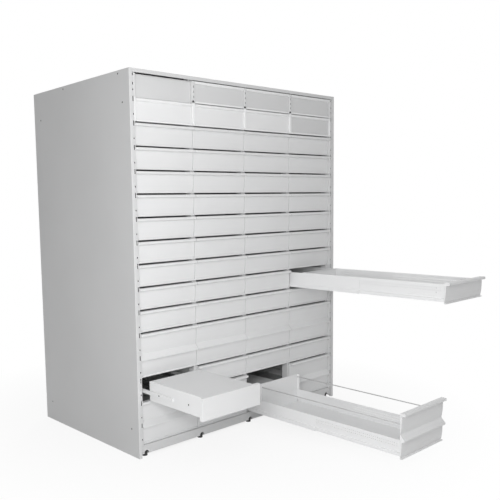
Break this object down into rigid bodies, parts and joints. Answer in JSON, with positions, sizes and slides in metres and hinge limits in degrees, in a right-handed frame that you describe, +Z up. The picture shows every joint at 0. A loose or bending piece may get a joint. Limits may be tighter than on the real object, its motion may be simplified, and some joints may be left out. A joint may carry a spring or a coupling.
{
  "type": "prescription cabinet",
  "caption": "Tall pharmacy cabinet with columns of long pull-out drawers for medicine packs and a pull-out worktop, shown with some drawers standing open.",
  "frame": {"origin": "on the floor in the middle of the cabinet's footprint, at the middle levelling foot's pad", "axes": "+X to the right seen from the drawer fronts, +Y from the fronts to the back, +Z up"},
  "size_m": [1.72, 2.1, 2.085],
  "materials": {
    "carcass_paint": "satin grey powder coat",
    "front_paint": "satin light grey powder coat",
    "drawer_paint": "satin light grey powder coat",
    "worktop_paint": "satin light grey powder coat",
    "zinc": "bright zinc plating",
    "foot_black": "black moulded plastic"
  },
  "bodies": {
    "cabinet": {"right_side_panel": "carcass_paint", "left_side_panel": "carcass_paint", "top_panel": "carcass_paint", "back_panel": "carcass_paint", "base_plinth": "front_paint", "upright_posts": "front_paint", "levelling_feet": "foot_black", "front_panels": "front_paint", "runner_rails": "zinc"},
    "long_drawer": {"long_drawer": "drawer_paint"},
    "long_drawer_carriage": {"long_drawer_carriage": "zinc"},
    "worktop": {"worktop": "worktop_paint"},
    "worktop_carriage": {"worktop_carriage": "zinc"},
    "deep_drawer": {"deep_drawer": "drawer_paint"},
    "deep_drawer_carriage": {"deep_drawer_carriage": "zinc"},
    "drawer_r03_c1": {"drawer_r03_c1": "front_paint"},
    "drawer_r03_c2": {"drawer_r03_c2": "front_paint"},
    "drawer_r03_c3": {"drawer_r03_c3": "front_paint"},
    "drawer_r03_c4": {"drawer_r03_c4": "front_paint"},
    "drawer_r04_c1": {"drawer_r04_c1": "front_paint"},
    "drawer_r04_c2": {"drawer_r04_c2": "front_paint"},
    "drawer_r04_c3": {"drawer_r04_c3": "front_paint"},
    "drawer_r04_c4": {"drawer_r04_c4": "front_paint"},
    "drawer_r05_c1": {"drawer_r05_c1": "front_paint"},
    "drawer_r05_c2": {"drawer_r05_c2": "front_paint"},
    "drawer_r05_c3": {"drawer_r05_c3": "front_paint"},
    "drawer_r05_c4": {"drawer_r05_c4": "front_paint"},
    "drawer_r06_c1": {"drawer_r06_c1": "front_paint"},
    "drawer_r06_c2": {"drawer_r06_c2": "front_paint"},
    "drawer_r06_c3": {"drawer_r06_c3": "front_paint"},
    "drawer_r06_c4": {"drawer_r06_c4": "front_paint"},
    "drawer_r07_c1": {"drawer_r07_c1": "front_paint"},
    "drawer_r07_c2": {"drawer_r07_c2": "front_paint"},
    "drawer_r07_c3": {"drawer_r07_c3": "front_paint"},
    "drawer_r07_c4": {"drawer_r07_c4": "front_paint"},
    "drawer_r08_c1": {"drawer_r08_c1": "front_paint"},
    "drawer_r08_c2": {"drawer_r08_c2": "front_paint"},
    "drawer_r08_c3": {"drawer_r08_c3": "front_paint"},
    "drawer_r08_c4": {"drawer_r08_c4": "front_paint"},
    "drawer_r09_c1": {"drawer_r09_c1": "front_paint"},
    "drawer_r09_c2": {"drawer_r09_c2": "front_paint"},
    "drawer_r09_c3": {"drawer_r09_c3": "front_paint"},
    "drawer_r09_c4": {"drawer_r09_c4": "front_paint"},
    "drawer_r10_c1": {"drawer_r10_c1": "front_paint"},
    "drawer_r10_c2": {"drawer_r10_c2": "front_paint"},
    "drawer_r10_c3": {"drawer_r10_c3": "front_paint"},
    "drawer_r11_c1": {"drawer_r11_c1": "front_paint"},
    "drawer_r11_c2": {"drawer_r11_c2": "front_paint"},
    "drawer_r11_c3": {"drawer_r11_c3": "front_paint"},
    "drawer_r11_c4": {"drawer_r11_c4": "front_paint"},
    "drawer_r14_c2": {"drawer_r14_c2": "front_paint"},
    "drawer_r14_c3": {"drawer_r14_c3": "front_paint"},
    "drawer_r14_c4": {"drawer_r14_c4": "front_paint"},
    "deep_drawer_r13_c1": {"deep_drawer_r13_c1": "front_paint"},
    "deep_drawer_r13_c2": {"deep_drawer_r13_c2": "front_paint"},
    "deep_drawer_r13_c3": {"deep_drawer_r13_c3": "front_paint"},
    "deep_drawer_r13_c4": {"deep_drawer_r13_c4": "front_paint"},
    "deep_drawer_r16_c1": {"deep_drawer_r16_c1": "front_paint"},
    "deep_drawer_r16_c2": {"deep_drawer_r16_c2": "front_paint"},
    "deep_drawer_r16_c4": {"deep_drawer_r16_c4": "front_paint"}
  },
  "joints": [
    {"name": "long_drawer_slide", "type": "slide", "parent": "cabinet", "child": "long_drawer", "axis": [0, -1, 0], "range_m": [-1.08, 0]},
    {"name": "deep_drawer_slide", "type": "slide", "parent": "cabinet", "child": "deep_drawer", "axis": [0, -1, 0], "range_m": [-1.08, 0]},
    {"name": "worktop_slide", "type": "slide", "parent": "cabinet", "child": "worktop", "axis": [0, -1, 0], "range_m": [-0.49, 0]},
    {"name": "long_drawer_carriage_slide", "type": "slide", "parent": "cabinet", "child": "long_drawer_carriage", "axis": [0, -1, 0], "range_m": [-0.54, 0]},
    {"name": "deep_drawer_carriage_slide", "type": "slide", "parent": "cabinet", "child": "deep_drawer_carriage", "axis": [0, -1, 0], "range_m": [-0.54, 0]},
    {"name": "worktop_carriage_slide", "type": "slide", "parent": "cabinet", "child": "worktop_carriage", "axis": [0, -1, 0], "range_m": [-0.245, 0]},
    {"name": "drawer_r03_c1_slide", "type": "slide", "parent": "cabinet", "child": "drawer_r03_c1", "axis": [0, -1, 0], "range_m": [0, 0.9]},
    {"name": "drawer_r03_c2_slide", "type": "slide", "parent": "cabinet", "child": "drawer_r03_c2", "axis": [0, -1, 0], "range_m": [0, 0.9]},
    {"name": "drawer_r03_c3_slide", "type": "slide", "parent": "cabinet", "child": "drawer_r03_c3", "axis": [0, -1, 0], "range_m": [0, 0.9]},
    {"name": "drawer_r03_c4_slide", "type": "slide", "parent": "cabinet", "child": "drawer_r03_c4", "axis": [0, -1, 0], "range_m": [0, 0.9]},
    {"name": "drawer_r04_c1_slide", "type": "slide", "parent": "cabinet", "child": "drawer_r04_c1", "axis": [0, -1, 0], "range_m": [0, 0.9]},
    {"name": "drawer_r04_c2_slide", "type": "slide", "parent": "cabinet", "child": "drawer_r04_c2", "axis": [0, -1, 0], "range_m": [0, 0.9]},
    {"name": "drawer_r04_c3_slide", "type": "slide", "parent": "cabinet", "child": "drawer_r04_c3", "axis": [0, -1, 0], "range_m": [0, 0.9]},
    {"name": "drawer_r04_c4_slide", "type": "slide", "parent": "cabinet", "child": "drawer_r04_c4", "axis": [0, -1, 0], "range_m": [0, 0.9]},
    {"name": "drawer_r05_c1_slide", "type": "slide", "parent": "cabinet", "child": "drawer_r05_c1", "axis": [0, -1, 0], "range_m": [0, 0.9]},
    {"name": "drawer_r05_c2_slide", "type": "slide", "parent": "cabinet", "child": "drawer_r05_c2", "axis": [0, -1, 0], "range_m": [0, 0.9]},
    {"name": "drawer_r05_c3_slide", "type": "slide", "parent": "cabinet", "child": "drawer_r05_c3", "axis": [0, -1, 0], "range_m": [0, 0.9]},
    {"name": "drawer_r05_c4_slide", "type": "slide", "parent": "cabinet", "child": "drawer_r05_c4", "axis": [0, -1, 0], "range_m": [0, 0.9]},
    {"name": "drawer_r06_c1_slide", "type": "slide", "parent": "cabinet", "child": "drawer_r06_c1", "axis": [0, -1, 0], "range_m": [0, 0.9]},
    {"name": "drawer_r06_c2_slide", "type": "slide", "parent": "cabinet", "child": "drawer_r06_c2", "axis": [0, -1, 0], "range_m": [0, 0.9]},
    {"name": "drawer_r06_c3_slide", "type": "slide", "parent": "cabinet", "child": "drawer_r06_c3", "axis": [0, -1, 0], "range_m": [0, 0.9]},
    {"name": "drawer_r06_c4_slide", "type": "slide", "parent": "cabinet", "child": "drawer_r06_c4", "axis": [0, -1, 0], "range_m": [0, 0.9]},
    {"name": "drawer_r07_c1_slide", "type": "slide", "parent": "cabinet", "child": "drawer_r07_c1", "axis": [0, -1, 0], "range_m": [0, 0.9]},
    {"name": "drawer_r07_c2_slide", "type": "slide", "parent": "cabinet", "child": "drawer_r07_c2", "axis": [0, -1, 0], "range_m": [0, 0.9]},
    {"name": "drawer_r07_c3_slide", "type": "slide", "parent": "cabinet", "child": "drawer_r07_c3", "axis": [0, -1, 0], "range_m": [0, 0.9]},
    {"name": "drawer_r07_c4_slide", "type": "slide", "parent": "cabinet", "child": "drawer_r07_c4", "axis": [0, -1, 0], "range_m": [0, 0.9]},
    {"name": "drawer_r08_c1_slide", "type": "slide", "parent": "cabinet", "child": "drawer_r08_c1", "axis": [0, -1, 0], "range_m": [0, 0.9]},
    {"name": "drawer_r08_c2_slide", "type": "slide", "parent": "cabinet", "child": "drawer_r08_c2", "axis": [0, -1, 0], "range_m": [0, 0.9]},
    {"name": "drawer_r08_c3_slide", "type": "slide", "parent": "cabinet", "child": "drawer_r08_c3", "axis": [0, -1, 0], "range_m": [0, 0.9]},
    {"name": "drawer_r08_c4_slide", "type": "slide", "parent": "cabinet", "child": "drawer_r08_c4", "axis": [0, -1, 0], "range_m": [0, 0.9]},
    {"name": "drawer_r09_c1_slide", "type": "slide", "parent": "cabinet", "child": "drawer_r09_c1", "axis": [0, -1, 0], "range_m": [0, 0.9]},
    {"name": "drawer_r09_c2_slide", "type": "slide", "parent": "cabinet", "child": "drawer_r09_c2", "axis": [0, -1, 0], "range_m": [0, 0.9]},
    {"name": "drawer_r09_c3_slide", "type": "slide", "parent": "cabinet", "child": "drawer_r09_c3", "axis": [0, -1, 0], "range_m": [0, 0.9]},
    {"name": "drawer_r09_c4_slide", "type": "slide", "parent": "cabinet", "child": "drawer_r09_c4", "axis": [0, -1, 0], "range_m": [0, 0.9]},
    {"name": "drawer_r10_c1_slide", "type": "slide", "parent": "cabinet", "child": "drawer_r10_c1", "axis": [0, -1, 0], "range_m": [0, 0.9]},
    {"name": "drawer_r10_c2_slide", "type": "slide", "parent": "cabinet", "child": "drawer_r10_c2", "axis": [0, -1, 0], "range_m": [0, 0.9]},
    {"name": "drawer_r10_c3_slide", "type": "slide", "parent": "cabinet", "child": "drawer_r10_c3", "axis": [0, -1, 0], "range_m": [0, 0.9]},
    {"name": "drawer_r11_c1_slide", "type": "slide", "parent": "cabinet", "child": "drawer_r11_c1", "axis": [0, -1, 0], "range_m": [0, 0.9]},
    {"name": "drawer_r11_c2_slide", "type": "slide", "parent": "cabinet", "child": "drawer_r11_c2", "axis": [0, -1, 0], "range_m": [0, 0.9]},
    {"name": "drawer_r11_c3_slide", "type": "slide", "parent": "cabinet", "child": "drawer_r11_c3", "axis": [0, -1, 0], "range_m": [0, 0.9]},
    {"name": "drawer_r11_c4_slide", "type": "slide", "parent": "cabinet", "child": "drawer_r11_c4", "axis": [0, -1, 0], "range_m": [0, 0.9]},
    {"name": "drawer_r14_c2_slide", "type": "slide", "parent": "cabinet", "child": "drawer_r14_c2", "axis": [0, -1, 0], "range_m": [0, 0.9]},
    {"name": "drawer_r14_c3_slide", "type": "slide", "parent": "cabinet", "child": "drawer_r14_c3", "axis": [0, -1, 0], "range_m": [0, 0.9]},
    {"name": "drawer_r14_c4_slide", "type": "slide", "parent": "cabinet", "child": "drawer_r14_c4", "axis": [0, -1, 0], "range_m": [0, 0.9]},
    {"name": "deep_drawer_r13_c1_slide", "type": "slide", "parent": "cabinet", "child": "deep_drawer_r13_c1", "axis": [0, -1, 0], "range_m": [0, 0.9]},
    {"name": "deep_drawer_r13_c2_slide", "type": "slide", "parent": "cabinet", "child": "deep_drawer_r13_c2", "axis": [0, -1, 0], "range_m": [0, 0.9]},
    {"name": "deep_drawer_r13_c3_slide", "type": "slide", "parent": "cabinet", "child": "deep_drawer_r13_c3", "axis": [0, -1, 0], "range_m": [0, 0.9]},
    {"name": "deep_drawer_r13_c4_slide", "type": "slide", "parent": "cabinet", "child": "deep_drawer_r13_c4", "axis": [0, -1, 0], "range_m": [0, 0.9]},
    {"name": "deep_drawer_r16_c1_slide", "type": "slide", "parent": "cabinet", "child": "deep_drawer_r16_c1", "axis": [0, -1, 0], "range_m": [0, 0.9]},
    {"name": "deep_drawer_r16_c2_slide", "type": "slide", "parent": "cabinet", "child": "deep_drawer_r16_c2", "axis": [0, -1, 0], "range_m": [0, 0.9]},
    {"name": "deep_drawer_r16_c4_slide", "type": "slide", "parent": "cabinet", "child": "deep_drawer_r16_c4", "axis": [0, -1, 0], "range_m": [0, 0.9]}
  ],
  "couplings": [
    {"joint": "long_drawer_carriage_slide", "follows": "long_drawer_slide", "ratio": 0.5},
    {"joint": "deep_drawer_carriage_slide", "follows": "deep_drawer_slide", "ratio": 0.5},
    {"joint": "worktop_carriage_slide", "follows": "worktop_slide", "ratio": 0.5}
  ]
}
